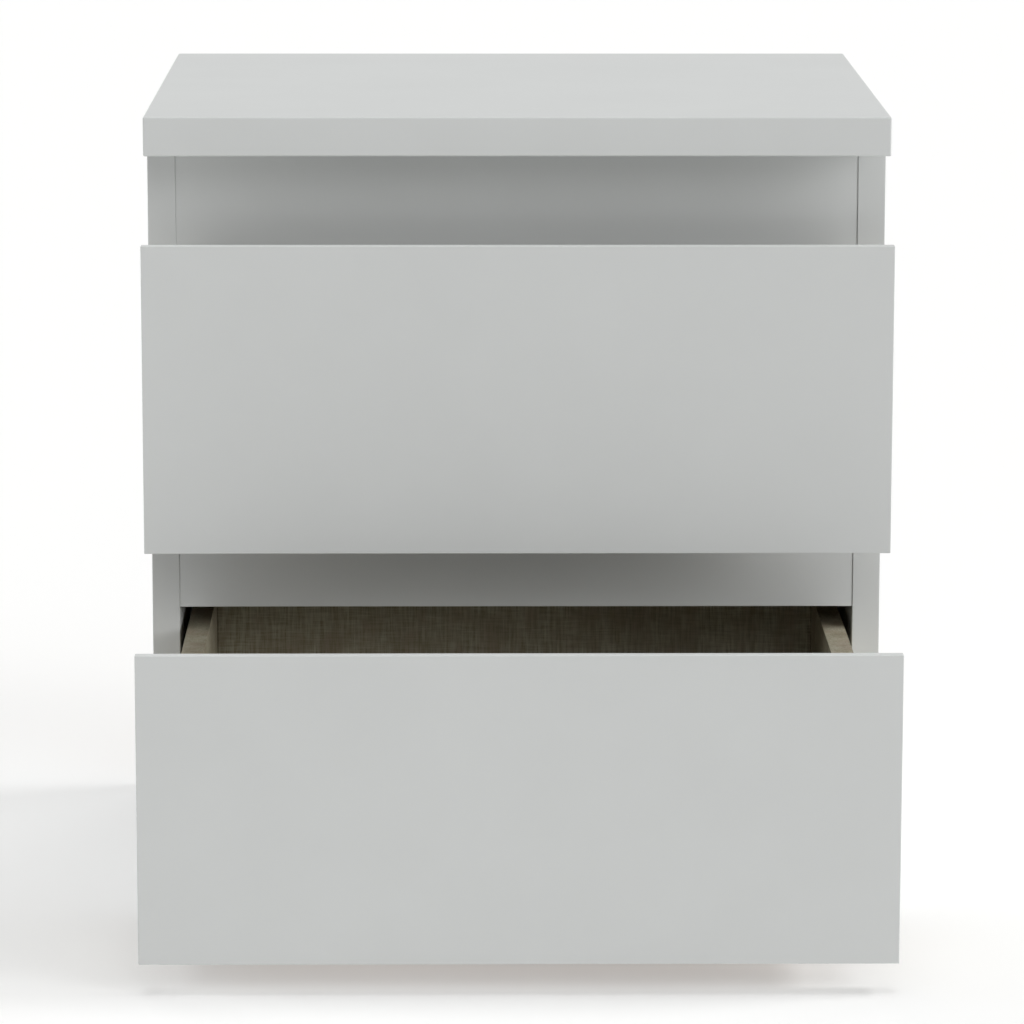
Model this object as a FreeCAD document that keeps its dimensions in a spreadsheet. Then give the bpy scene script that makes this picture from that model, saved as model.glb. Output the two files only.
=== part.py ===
"""Bedside cabinet with two drawers, as separate boards, fittings and fasteners.

Millimetres. +X is to the right, +Y is to the back, +Z is up. The origin is on the floor, below the
middle of the top panel. Both drawers stand partly open: that is the rest position of the cabinet.
"""
import FreeCAD, Part
import Sketcher
import math
import os
import re

Vector = FreeCAD.Vector

# Driving dimensions, in millimetres. Each one is a cell of the sheet, under its own name.
SIZES = {
    "cabinet_width": 400,
    "cabinet_depth": 350,
    "cabinet_height": 450,
    "top_thickness": 21,
    "top_overhang": 35,         # the top reaches this far in front of the side panels
    "edge_radius": 1,           # rounding of the edge banding
    "board": 15,                # side panels, rails and bottom panel
    "back_board": 3,
    "back_inset": 1,            # back panel to the rear edge of the top
    "back_margin": 2,           # side panel's outer face to the edge of the back panel
    "back_play": 0.5,           # upper edge of the back panel to the top panel
    "apron_height": 60,
    "rail_height": 51,
    "rail_setback": 0.5,        # rails and bottom panel stand behind the side panels' front edges
    "middle_rail_level": 176,
    "bottom_level": 12,
    "front_height": 166,
    "front_board": 16,
    "front_level": 17,          # lower edge of the lower drawer front
    "front_pitch": 202,         # from one drawer to the next
    "front_gap": 1,             # closed drawer front to the side panels' front edges
    "grip_land": 6,             # flat strip along the top edge of a drawer front
    "grip_drop": 10,            # height of the slope behind the strip
    "lower_open": 141,
    "upper_open": 50,
    "drawer_board": 12,
    "drawer_gap": 4,            # drawer side to side panel
    "drawer_height": 120,
    "drawer_length": 250,
    "drawer_rise": 27,          # lower edge of the front to lower edge of the drawer side
    "drawer_back_inset": 5,     # drawer back to the rear ends of the drawer sides
    "drawer_bottom": 3,
    "bottom_rise": 8,           # lower edge of the drawer side to the groove for the bottom
    "bottom_groove": 5,         # depth of that groove
    "groove_play": 0.1,
    "runner_rise": 52,          # lower edge of the drawer side to the groove for the runner
    "runner_groove": 6,
    "runner_groove_height": 16,
    "runner_play": 0.5,
    "runner_width": 9,
    "runner_length": 250,
    "runner_setback": 5,
    "runner_round": 2,
    "runner_sink": 4,           # screw head below the runner's face
    "runner_screw_inset": 20,   # end of the runner to its first screw
    "guide_length": 14.5,
    "guide_width": 3.6,
    "guide_height": 45,
    "guide_drop": 3,            # upper edge of the drawer side to the upper edge of the guide
    "guide_pin": 2,
    "guide_pin_length": 8,
    "guide_pin_inset": 4.5,     # ends of the guide to its pins
    "stop_radius": 5,
    "stop_width": 3,
    "stop_pin": 2.5,
    "stop_pin_length": 10,
    "stop_rise": 79,            # lower edge of the drawer side to the stop's centre
    "stop_setback": 39,
    "hole_play": 0.1,           # radial play of every fastener in its hole
    "hole_end": 0.5,            # empty depth beyond a fastener's end
    "bolt_play": 0.5,           # radial play of a cam bolt's shank
    "drawer_bolt_play": 0.4,
    "head_play": 0.3,           # radial play of a sunk screw head
    "cam_radius": 7.4,
    "cam_depth": 12,
    "drawer_cam_depth": 9.5,
    "cam_reach": 24,            # cam centre to the board's end
    "cam_recess": 5,            # length of each bar of the cam's cross recess
    "cam_recess_width": 1.2,
    "cam_recess_depth": 1.5,
    "channel_reach": 4.5,       # the cam's channel goes this far past its centre
    "bolt_thread": 2.5,
    "bolt_thread_length": 10.5,
    "bolt_shank": 3,
    "drawer_bolt_shank": 2.4,
    "bolt_neck": 1.6,
    "bolt_neck_start": 8,       # cam centre to the taper before the neck
    "bolt_head_reach": 3,       # the bolt ends this far past the cam's centre
    "bolt_head": 3,             # length of the head with its taper
    "bolt_taper": 1,
    "head_chamfer": 0.7,
    "dowel_radius": 4,
    "dowel_length": 30,
    "dowel_sink": 10,           # part of a dowel that stands in the face of the other board
    "drawer_dowel_radius": 3,
    "drawer_dowel_length": 25,
    "drawer_dowel_sink": 12,
    "lower_cam_rise": 34,       # lower edge of the drawer side to its fasteners
    "upper_cam_rise": 92,
    "lower_dowel_rise": 20,
    "upper_dowel_rise": 106,
    "lower_screw_rise": 25,
    "upper_screw_rise": 94,
    "dowel_chamfer": 1,
    "rail_fastener_spread": 12,  # rail's centre line to its bolt, and to its dowel
    "front_fastener": 50,       # front edge of the side panel to the first cam
    "rear_fastener": 265,
    "front_dowel": 90,
    "rear_dowel": 225,
    "nail_radius": 0.8,
    "nail_length": 18,
    "nail_head": 2.2,
    "nail_head_height": 0.8,
    "nail_margin": 20,
    "nail_pitch": 75,
    "screw_radius": 1.75,
    "screw_head": 3.4,
    "screw_head_height": 2.2,
    "runner_screw_length": 15,
    "bottom_screw_length": 16,
    "back_screw_length": 35,
    "back_screw_sink": 3,
    "glide_height": 5,
    "glide_radius": 6.5,
    "glide_round": 1.2,
    "glide_pin": 1.5,
    "glide_pin_length": 12,
    "glide_inset": 30,          # glide's centre to the end of the side panel's lower edge
}

# Places that follow from the driving dimensions, as formulas for the sheet's names.
INNER_WIDTH = "(cabinet_width - 2 * board)"
CARCASS_FRONT = "(top_overhang - cabinet_depth / 2)"
CARCASS_REAR = "(cabinet_depth / 2 - back_inset - back_board)"
SIDE_DEPTH = f"({CARCASS_REAR} - {CARCASS_FRONT})"
SIDE_HEIGHT = "(cabinet_height - top_thickness - glide_height)"
UNDER_TOP = "(cabinet_height - top_thickness)"
APRON_LEVEL = f"({UNDER_TOP} - apron_height)"
RAIL_FRONT = f"({CARCASS_FRONT} + rail_setback)"
BOTTOM_DEPTH = f"({SIDE_DEPTH} - rail_setback)"
BACK_WIDTH = "(cabinet_width - 2 * back_margin)"
BACK_LEVEL = "(bottom_level + back_margin)"
BACK_HEIGHT = f"({UNDER_TOP} - {BACK_LEVEL} - back_play)"
DRAWER_OUTER = f"({INNER_WIDTH} - 2 * drawer_gap)"
DRAWER_INNER = f"({DRAWER_OUTER} - 2 * drawer_board)"
GROOVE_HEIGHT = "(drawer_bottom + 2 * groove_play)"
RUNNER_HEIGHT = "(runner_groove_height - 2 * runner_play)"

RAIL_LEVELS = {"apron_rail": APRON_LEVEL, "middle_rail": "middle_rail_level"}
RAIL_HEIGHTS = {"apron_rail": "apron_height", "middle_rail": "rail_height"}
RAIL_BOLT_RISE = "(rail_height / 2 - rail_fastener_spread)"
RAIL_DOWEL_RISE = "(rail_height / 2 + rail_fastener_spread)"
RAIL_MIDDLE = "(rail_setback + board / 2)"
CAM_PLACES = ("front_fastener", "rear_fastener")
DOWEL_PLACES = ("front_dowel", "rear_dowel")
NAIL_LEVELS = [f"({BACK_LEVEL} + nail_margin + {step} * nail_pitch)" for step in range(6)]
BOTTOM_NAILS = [f"({INNER_WIDTH} * {quarter} / 4)" for quarter in (1, 2, 3)]
RUNNER_SCREWS = ("runner_screw_inset", "(runner_length / 2)", "(runner_length - runner_screw_inset)")
GLIDE_PLACES = ("glide_inset", f"({SIDE_DEPTH} - glide_inset)")
DRAWER_CAM_RISES = ("lower_cam_rise", "upper_cam_rise")
DRAWER_DOWEL_RISES = ("lower_dowel_rise", "upper_dowel_rise")
BACK_SCREW_RISES = ("lower_screw_rise", "upper_screw_rise")
GUIDE_PIN_DROPS = ("guide_pin_inset", "(guide_height - guide_pin_inset)")

LEFT, RIGHT = -1, 1
HANDS = {"left": LEFT, "right": RIGHT}
DRAWERS = {"lower": 0, "upper": 1}

AXES = {"X": Vector(1, 0, 0), "Y": Vector(0, 1, 0), "Z": Vector(0, 0, 1)}
PLANES = {"X": "YZ_Plane", "Y": "XZ_Plane", "Z": "XY_Plane"}
# A sketch on the XZ plane faces -Y. The other two face along their own axis.
NORMALS = {"X": 1, "Y": -1, "Z": 1}

doc = FreeCAD.newDocument("Nightstand")
sheet = doc.addObject("Spreadsheet::Sheet", "Sizes")
nodes = []
cuts = []


def fill_sheet():
    """Write each driving dimension into its own cell, with its name as the alias."""
    for row, (name, value) in enumerate(SIZES.items(), start=1):
        sheet.set(f"A{row}", name)
        sheet.set(f"B{row}", str(value))
        sheet.setAlias(f"B{row}", name)
    doc.recompute()


def formula(text):
    """The expression with every name of a dimension turned into a reference to its cell."""
    return re.sub(r"[a-z][a-z_]+", lambda word: "Sizes." + word.group(0), text)


def value(text):
    """The number that a formula of dimensions gives now."""
    return float(sheet.evalExpression(formula(text)))


def bind(item, **formulas):
    """Tie properties of an object to formulas. A double underscore in a key stands for a dot."""
    for key, text in formulas.items():
        item.setExpression(key.replace("__", "."), formula(text))


def bind_place(item, place):
    """Tie the position of an object to three formulas."""
    for letter, text in zip("xyz", place):
        item.setExpression(f"Placement.Base.{letter}", formula(text))


def new_body(label):
    """An empty body with its own label."""
    body = doc.addObject("PartDesign::Body", label)
    body.Label = label
    return body


def new_sketch(body, axis, level):
    """A sketch square to an axis of the body, at a level along that axis."""
    plane = next(item for item in body.Origin.OriginFeatures if item.Role == PLANES[axis])
    sketch = body.newObject("Sketcher::SketchObject", body.Name + "_sketch")
    sketch.AttachmentSupport = (plane, [""])
    sketch.MapMode = "FlatFace"
    bind(sketch, AttachmentOffset__Base__z=f"{NORMALS[axis]} * ({level})")
    return sketch


def constrain(sketch, kind, first, second, text):
    """A driving distance between two points of a sketch, tied to a formula."""
    index = sketch.addConstraint(Sketcher.Constraint(kind, *first, *second, value(text)))
    sketch.setExpression(f"Constraints[{index}]", formula(text))


def draw_outline(sketch, corners):
    """A closed outline of straight lines through corners that are pairs of formulas."""
    points = [Vector(value(across), value(up), 0) for across, up in corners]
    count = len(points)
    start = sketch.GeometryCount
    for step in range(count):
        sketch.addGeometry(Part.LineSegment(points[step], points[(step + 1) % count]))
    for step in range(count):
        following = start + (step + 1) % count
        sketch.addConstraint(Sketcher.Constraint("Coincident", start + step, 2, following, 1))
    origin = (-1, 1)
    for step, (across, up) in enumerate(corners):
        constrain(sketch, "DistanceX", origin, (start + step, 1), across)
        constrain(sketch, "DistanceY", origin, (start + step, 1), up)


def draw_rectangle(sketch, left, bottom, width, height):
    """A rectangle given by its lower left corner and its sides."""
    right = f"({left} + {width})"
    top = f"({bottom} + {height})"
    draw_outline(sketch, [(left, bottom), (right, bottom), (right, top), (left, top)])


def draw_circle(sketch, across, up, radius):
    """A circle whose centre and radius follow formulas."""
    centre = Vector(value(across), value(up), 0)
    circle = sketch.addGeometry(Part.Circle(centre, Vector(0, 0, 1), value(radius)))
    constrain(sketch, "DistanceX", (-1, 1), (circle, 3), across)
    constrain(sketch, "DistanceY", (-1, 1), (circle, 3), up)
    index = sketch.addConstraint(Sketcher.Constraint("Radius", circle, value(radius)))
    sketch.setExpression(f"Constraints[{index}]", formula(radius))


def pad(body, sketch, length, axis):
    """Material raised from a sketch towards the positive end of its axis."""
    feature = body.newObject("PartDesign::Pad", body.Name + "_pad")
    feature.Profile = sketch
    feature.Reversed = NORMALS[axis] < 0
    bind(feature, Length=length)
    sketch.Visibility = False
    return feature


def pocket(body, sketch, depth, axis, heading, least_volume):
    """Material cut away from a sketch along an axis, in the heading +1 or -1."""
    base = body.Tip
    feature = body.newObject("PartDesign::Pocket", body.Name + "_pocket")
    feature.Profile = sketch
    feature.Reversed = heading == NORMALS[axis]
    bind(feature, Length=depth)
    cuts.append((base, feature, least_volume))
    return feature


def new_board(label, corner, size):
    """A rectangular board drawn from its lower front left corner."""
    body = new_body(label)
    sketch = new_sketch(body, "Z", "0")
    draw_rectangle(sketch, "0", "0", size[0], size[1])
    pad(body, sketch, size[2], "Z")
    bind_place(body, corner)
    nodes.append(body)
    return body


def bore(body, axis, level, heading, centres, radius, depth):
    """Round blind holes along an axis, from a level of the board into it."""
    sketch = new_sketch(body, axis, level)
    for across, up in centres:
        draw_circle(sketch, across, up, radius)
    share = 0.4     # holes that cross another hole remove less than their own volume
    expected = len(centres) * math.pi * value(radius) ** 2 * value(depth)
    pocket(body, sketch, depth, axis, heading, share * expected)


def groove(body, axis, level, heading, rectangle, depth):
    """A rectangular groove, from a level of the board into it."""
    sketch = new_sketch(body, axis, level)
    draw_rectangle(sketch, *rectangle)
    share = 0.9     # a groove may cross holes, which leave less to cut
    expected = value(rectangle[2]) * value(rectangle[3]) * value(depth)
    pocket(body, sketch, depth, axis, heading, share * expected)


def round_edges(body, radius, wanted):
    """Round those edges of a body for which the test of the edge's middle and direction holds."""
    doc.recompute()
    base = body.Tip
    names = []
    for index, edge in enumerate(base.Shape.Edges, start=1):
        ends = [vertex.Point for vertex in edge.Vertexes]
        if len(ends) == 2 and wanted((ends[0] + ends[1]) / 2, (ends[1] - ends[0]).normalize()):
            names.append(f"Edge{index}")
    feature = body.newObject("PartDesign::Fillet", body.Name + "_fillet")
    feature.Base = (base, names)
    bind(feature, Radius=radius)


def revolve(label, outline):
    """A turned master piece about Z: the outline gives pairs of radius and height."""
    body = new_body(label)
    sketch = new_sketch(body, "Y", "0")
    draw_outline(sketch, outline)
    feature = body.newObject("PartDesign::Revolution", label + "_turned")
    feature.Profile = sketch
    feature.ReferenceAxis = (sketch, ["V_Axis"])
    feature.Angle = 360
    return body


def place_copies(label, copies):
    """A node of separate solids: copies of master pieces, each at its own place and turn.

    A copy is (master, place, outward, sideways): three formulas for the place, then the directions
    that the master's +Z and +X take.
    """
    links = []
    for master, place, outward, sideways in copies:
        link = doc.addObject("App::Link", f"{label}_{len(links) + 1}")
        link.LinkedObject = master
        turn = FreeCAD.Rotation(sideways, Vector(), outward, "ZXY")
        link.Placement = FreeCAD.Placement(Vector(), turn)
        bind_place(link, place)
        links.append(link)
    group = doc.addObject("Part::Compound", label)
    group.Label = label
    group.Links = links
    nodes.append(group)
    return group


# ---------------------------------------------------------------- fittings and fasteners, modelled once

def make_cam(label, depth, axis_depth, shank):
    """Cam housing: a round block with a channel for the bolt's head and a cross recess in its face."""
    body = new_body(label)
    sketch = new_sketch(body, "Z", f"hole_play - {depth}")
    draw_circle(sketch, "0", "0", "cam_radius")
    pad(body, sketch, f"{depth} - hole_play", "Z")
    channel = new_sketch(body, "X", "cam_radius")
    half = f"({shank} + bolt_play)"
    draw_rectangle(channel, f"-{half}", f"(-{axis_depth} - {half})", f"2 * {half}", f"2 * {half}")
    pocket(body, channel, "cam_radius + channel_reach", "X", -1, 100)
    bars = ("cam_recess", "cam_recess_width")
    for across, along in (bars, bars[::-1]):
        recess = new_sketch(body, "Z", "0")
        draw_rectangle(recess, f"-{across} / 2", f"-{along} / 2", across, along)
        pocket(body, recess, "cam_recess_depth", "Z", -1, 1)
    return body


def make_bolt(label, shank):
    """Cam bolt: a thread below Z = 0, then a collar-free shank, a neck and a head that the cam grips."""
    neck = "(cam_reach - bolt_neck_start)"
    head_end = "(cam_reach + bolt_head_reach)"
    head = f"({head_end} - bolt_head)"
    return revolve(label, [
        ("0", "-bolt_thread_length"),
        ("bolt_thread - head_chamfer", "-bolt_thread_length"),
        ("bolt_thread", "head_chamfer - bolt_thread_length"),
        ("bolt_thread", "0"),
        (shank, "0"),
        (shank, neck),
        ("bolt_neck", f"{neck} + bolt_taper"),
        ("bolt_neck", head),
        (f"{shank} - hole_play", f"{head} + bolt_taper"),
        (f"{shank} - hole_play", f"{head_end} - head_chamfer"),
        (f"{shank} - hole_play - head_chamfer", head_end),
        ("0", head_end),
    ])


def make_dowel(label, radius, length, sink):
    """Wooden dowel with chamfered ends. Its part below Z = 0 stands in the face of the other board."""
    return revolve(label, [
        ("0", f"-{sink}"),
        (f"{radius} - dowel_chamfer", f"-{sink}"),
        (radius, f"dowel_chamfer - {sink}"),
        (radius, f"{length} - {sink} - dowel_chamfer"),
        (f"{radius} - dowel_chamfer", f"{length} - {sink}"),
        ("0", f"{length} - {sink}"),
    ])


def make_screw(label, length):
    """Pan-head screw: its head stands on Z = 0 and its shank points down."""
    return revolve(label, [
        ("0", f"-{length}"),
        ("screw_radius", f"2 - {length}"),
        ("screw_radius", "0"),
        ("screw_head", "0"),
        ("screw_head", "screw_head_height - 1"),
        ("screw_head - 1", "screw_head_height"),
        ("0", "screw_head_height"),
    ])


def make_nail():
    """Flat-head nail for the back panel: its head stands on Z = 0."""
    return revolve("nail_master", [
        ("0", "-nail_length"),
        ("nail_radius", "1.5 - nail_length"),
        ("nail_radius", "0"),
        ("nail_head", "0"),
        ("nail_head", "nail_head_height"),
        ("0", "nail_head_height"),
    ])


def make_glide():
    """Foot glide: a disc on the floor with a pin that is pressed into the side panel."""
    return revolve("glide_master", [
        ("0", "0"),
        ("glide_radius - glide_round", "0"),
        ("glide_radius", "glide_round"),
        ("glide_radius", "glide_height"),
        ("glide_pin", "glide_height"),
        ("glide_pin", "glide_height + glide_pin_length - 1"),
        ("0", "glide_height + glide_pin_length"),
    ])


def make_stop():
    """Stop peg: a round head of the play's width, and a pin in the side panel below Z = 0."""
    return revolve("stop_master", [
        ("0", "-stop_pin_length"),
        ("stop_pin", "-stop_pin_length"),
        ("stop_pin", "0"),
        ("stop_radius", "0"),
        ("stop_radius", "stop_width - head_chamfer"),
        ("stop_radius - head_chamfer", "stop_width"),
        ("0", "stop_width"),
    ])


# ---------------------------------------------------------------- cabinet

def from_end(length, distance, hand):
    """A distance from the left or right end of a board of that length, measured from its left end."""
    return f"({distance})" if hand == LEFT else f"({length} - ({distance}))"


def make_side_panel(side, hand):
    """Side panel with the holes for the top, the rails, the bottom, the runners and the stops."""
    outer = "(-cabinet_width / 2)" if hand == LEFT else "(cabinet_width / 2 - board)"
    inner_face = "board" if hand == LEFT else "0"
    body = new_board(
        f"{side}_side_panel",
        (outer, CARCASS_FRONT, "glide_height"),
        ("board", SIDE_DEPTH, SIDE_HEIGHT),
    )
    bottom_middle = "(bottom_level + board / 2 - glide_height)"
    pilots = [(place, bottom_middle) for place in CAM_PLACES]
    sockets = [(place, bottom_middle) for place in DOWEL_PLACES]
    for level in RAIL_LEVELS.values():
        pilots.append((RAIL_MIDDLE, f"({level} - glide_height + {RAIL_BOLT_RISE})"))
        sockets.append((RAIL_MIDDLE, f"({level} - glide_height + {RAIL_DOWEL_RISE})"))
    screws = []
    stops = []
    for step in DRAWERS.values():
        box_level = f"(front_level + drawer_rise + {step} * front_pitch - glide_height)"
        screw_level = f"({box_level} + runner_rise + runner_groove_height / 2)"
        screws += [(f"(runner_setback + {place})", screw_level) for place in RUNNER_SCREWS]
        stops.append(("stop_setback", f"({box_level} + stop_rise)"))
    cams = [(place, f"({SIDE_HEIGHT} - cam_reach)") for place in CAM_PLACES]
    face_holes = (
        (pilots, "bolt_thread + hole_play", "bolt_thread_length + hole_end"),
        (sockets, "dowel_radius + hole_play", "dowel_sink + hole_end"),
        (screws, "screw_radius + hole_play", "runner_screw_length - runner_width + runner_sink + hole_end"),
        (stops, "stop_pin + hole_play", "stop_pin_length + hole_end"),
        (cams, "cam_radius + hole_play", "cam_depth"),
    )
    for centres, radius, depth in face_holes:
        bore(body, "X", inner_face, hand, centres, radius, depth)
    upper_edge = (
        ([("board / 2", place) for place in CAM_PLACES], "bolt_shank + bolt_play", "cam_reach"),
        ([("board / 2", place) for place in DOWEL_PLACES], "dowel_radius + hole_play",
         "dowel_length - dowel_sink + hole_end"),
    )
    for centres, radius, depth in upper_edge:
        bore(body, "Z", SIDE_HEIGHT, -1, centres, radius, depth)
    nail_holes = [("board / 2", f"({level} - glide_height)") for level in NAIL_LEVELS]
    nail_depth = "nail_length - back_board + hole_end"
    bore(body, "Y", SIDE_DEPTH, -1, nail_holes, "nail_radius + hole_play", nail_depth)
    pins = [("board / 2", place) for place in GLIDE_PLACES]
    bore(body, "Z", "0", 1, pins, "glide_pin + hole_play", "glide_pin_length + hole_end")


def drill_ends(body, length, bolts, dowels):
    """Bolt and dowel holes along X in both ends of a board. The places are pairs of (Y, Z)."""
    for hand in HANDS.values():
        end = "0" if hand == LEFT else length
        bore(body, "X", end, -hand, bolts, "bolt_shank + bolt_play", "cam_reach")
        dowel_depth = "dowel_length - dowel_sink + hole_end"
        bore(body, "X", end, -hand, dowels, "dowel_radius + hole_play", dowel_depth)


def make_rail(label, level):
    """Rail between the side panels, with its cams in the rear face."""
    body = new_board(
        label,
        (f"(-{INNER_WIDTH} / 2)", RAIL_FRONT, level),
        (INNER_WIDTH, "board", RAIL_HEIGHTS[label]),
    )
    drill_ends(body, INNER_WIDTH, [("board / 2", RAIL_BOLT_RISE)], [("board / 2", RAIL_DOWEL_RISE)])
    cams = [(from_end(INNER_WIDTH, "cam_reach", hand), RAIL_BOLT_RISE) for hand in HANDS.values()]
    bore(body, "Y", "board", -1, cams, "cam_radius + hole_play", "cam_depth")


def make_bottom_panel():
    """Bottom panel between the side panels, with its cams in the lower face."""
    body = new_board(
        "bottom_panel",
        (f"(-{INNER_WIDTH} / 2)", RAIL_FRONT, "bottom_level"),
        (INNER_WIDTH, BOTTOM_DEPTH, "board"),
    )
    bolts = [(f"({place} - rail_setback)", "board / 2") for place in CAM_PLACES]
    dowels = [(f"({place} - rail_setback)", "board / 2") for place in DOWEL_PLACES]
    drill_ends(body, INNER_WIDTH, bolts, dowels)
    cams = []
    for hand in HANDS.values():
        cams += [(from_end(INNER_WIDTH, "cam_reach", hand), along) for along, _ in bolts]
    bore(body, "Z", "0", 1, cams, "cam_radius + hole_play", "cam_depth")
    nails = [(place, "board / 2") for place in BOTTOM_NAILS]
    nail_depth = "nail_length - back_board + hole_end"
    bore(body, "Y", BOTTOM_DEPTH, -1, nails, "nail_radius + hole_play", nail_depth)


def make_top_panel():
    """Top panel with rounded edges all round, and blind holes in its lower face."""
    body = new_board(
        "top_panel",
        ("(-cabinet_width / 2)", "(-cabinet_depth / 2)", UNDER_TOP),
        ("cabinet_width", "cabinet_depth", "top_thickness"),
    )
    round_edges(body, "edge_radius", lambda middle, direction: True)
    pilots = []
    sockets = []
    for hand in HANDS.values():
        across = from_end("cabinet_width", "board / 2", hand)
        pilots += [(across, f"(top_overhang + {place})") for place in CAM_PLACES]
        sockets += [(across, f"(top_overhang + {place})") for place in DOWEL_PLACES]
    bore(body, "Z", "0", 1, pilots, "bolt_thread + hole_play", "bolt_thread_length + hole_end")
    bore(body, "Z", "0", 1, sockets, "dowel_radius + hole_play", "dowel_sink + hole_end")


def make_back_panel():
    """Hardboard back, nailed to the rear edges of the side panels and of the bottom panel."""
    body = new_board(
        "back_panel",
        (f"(-{BACK_WIDTH} / 2)", CARCASS_REAR, BACK_LEVEL),
        (BACK_WIDTH, "back_board", BACK_HEIGHT),
    )
    places = []
    for hand in HANDS.values():
        across = from_end(BACK_WIDTH, "board / 2 - back_margin", hand)
        places += [(across, f"({level} - {BACK_LEVEL})") for level in NAIL_LEVELS]
    for place in BOTTOM_NAILS:
        places.append((f"({place} + board - back_margin)", f"(bottom_level + board / 2 - {BACK_LEVEL})"))
    bore(body, "Y", "0", 1, places, "nail_radius + hole_play", "back_board")


def make_runner(name, side, step, hand):
    """Runner for one side of one drawer, with sunk screw holes and rounded inner ends."""
    inner_edge = f"({INNER_WIDTH} / 2)"
    corner_x = f"(-{inner_edge})" if hand == LEFT else f"({inner_edge} - runner_width)"
    level = f"(front_level + drawer_rise + {step} * front_pitch + runner_rise + runner_play)"
    body = new_board(
        f"{name}_{side}_runner",
        (corner_x, f"({CARCASS_FRONT} + runner_setback)", level),
        ("runner_width", "runner_length", RUNNER_HEIGHT),
    )
    face = "runner_width" if hand == LEFT else "0"
    face_x = value(face)
    round_edges(
        body, "runner_round",
        lambda middle, direction: abs(direction.z) > 0.9 and abs(middle.x - face_x) < 0.1,
    )
    centres = [(place, f"({RUNNER_HEIGHT} / 2)") for place in RUNNER_SCREWS]
    bore(body, "X", face, hand, centres, "screw_head + head_play", "runner_sink")
    bore(body, "X", face, hand, centres, "screw_radius + hole_play", "runner_width")


# ---------------------------------------------------------------- drawers

def make_drawer_front(name, face_y, step):
    """Overlay front. Behind a flat land its top edge slopes down to the rear face: the finger grip."""
    level = f"(front_level + {step} * front_pitch)"
    body = new_body(f"{name}_drawer_front")
    sketch = new_sketch(body, "X", "0")
    draw_outline(sketch, [
        ("0", "0"),
        ("front_board", "0"),
        ("front_board", "front_height - grip_drop"),
        ("grip_land", "front_height"),
        ("0", "front_height"),
    ])
    pad(body, sketch, "cabinet_width", "X")
    bind_place(body, ("(-cabinet_width / 2)", face_y, level))
    nodes.append(body)
    round_edges(body, "edge_radius / 2", lambda middle, direction: middle.y < 0.1)
    pilots = []
    sockets = []
    for hand in HANDS.values():
        across = from_end("cabinet_width", "board + drawer_gap + drawer_board / 2", hand)
        pilots += [(across, f"(drawer_rise + {rise})") for rise in DRAWER_CAM_RISES]
        sockets += [(across, f"(drawer_rise + {rise})") for rise in DRAWER_DOWEL_RISES]
    bore(body, "Y", "front_board", -1, pilots, "bolt_thread + hole_play", "bolt_thread_length + hole_end")
    socket_depth = "drawer_dowel_sink + hole_end"
    bore(body, "Y", "front_board", -1, sockets, "drawer_dowel_radius + hole_play", socket_depth)
    slot_width = f"({DRAWER_INNER} + 2 * bottom_groove)"
    slot = (f"(cabinet_width - {slot_width}) / 2", "(drawer_rise + bottom_rise)", slot_width, GROOVE_HEIGHT)
    groove(body, "Y", "front_board", -1, slot, "bottom_groove")


def make_drawer_side(name, side, hand, box_y, box_z):
    """Drawer side, grooved outside for the runner and inside for the bottom."""
    half = f"({DRAWER_OUTER} / 2)"
    corner_x = f"(-{half})" if hand == LEFT else f"({half} - drawer_board)"
    body = new_board(
        f"{name}_drawer_{side}_side",
        (corner_x, box_y, box_z),
        ("drawer_board", "drawer_length", "drawer_height"),
    )
    inner = "drawer_board" if hand == LEFT else "0"
    outer = "0" if hand == LEFT else "drawer_board"
    slot = ("0", "bottom_rise", "drawer_length", GROOVE_HEIGHT)
    groove(body, "X", inner, hand, slot, "bottom_groove")
    track = ("0", "runner_rise", "drawer_length", "runner_groove_height")
    groove(body, "X", outer, -hand, track, "runner_groove")
    cams = [("cam_reach", rise) for rise in DRAWER_CAM_RISES]
    bore(body, "X", inner, hand, cams, "cam_radius + hole_play", "drawer_cam_depth")
    middle = "drawer_board / 2"
    bolts = [(middle, rise) for rise in DRAWER_CAM_RISES]
    dowels = [(middle, rise) for rise in DRAWER_DOWEL_RISES]
    bore(body, "Y", "0", 1, bolts, "drawer_bolt_shank + drawer_bolt_play", "cam_reach")
    bore(body, "Y", "0", 1, dowels, "drawer_dowel_radius + hole_play",
         "drawer_dowel_length - drawer_dowel_sink + hole_end")
    back_middle = "(drawer_length - drawer_back_inset - drawer_board / 2)"
    screws = [(back_middle, rise) for rise in BACK_SCREW_RISES]
    bore(body, "X", outer, -hand, screws, "screw_head + head_play", "back_screw_sink")
    bore(body, "X", outer, -hand, screws, "screw_radius + hole_play", "drawer_board")
    guide_level = "(drawer_height - guide_drop - guide_height)"
    guide_middle = "(drawer_length - guide_length / 2)"
    pins = [(guide_middle, f"({guide_level} + {drop})") for drop in GUIDE_PIN_DROPS]
    bore(body, "X", outer, -hand, pins, "guide_pin + hole_play", "guide_pin_length + hole_end")


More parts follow.
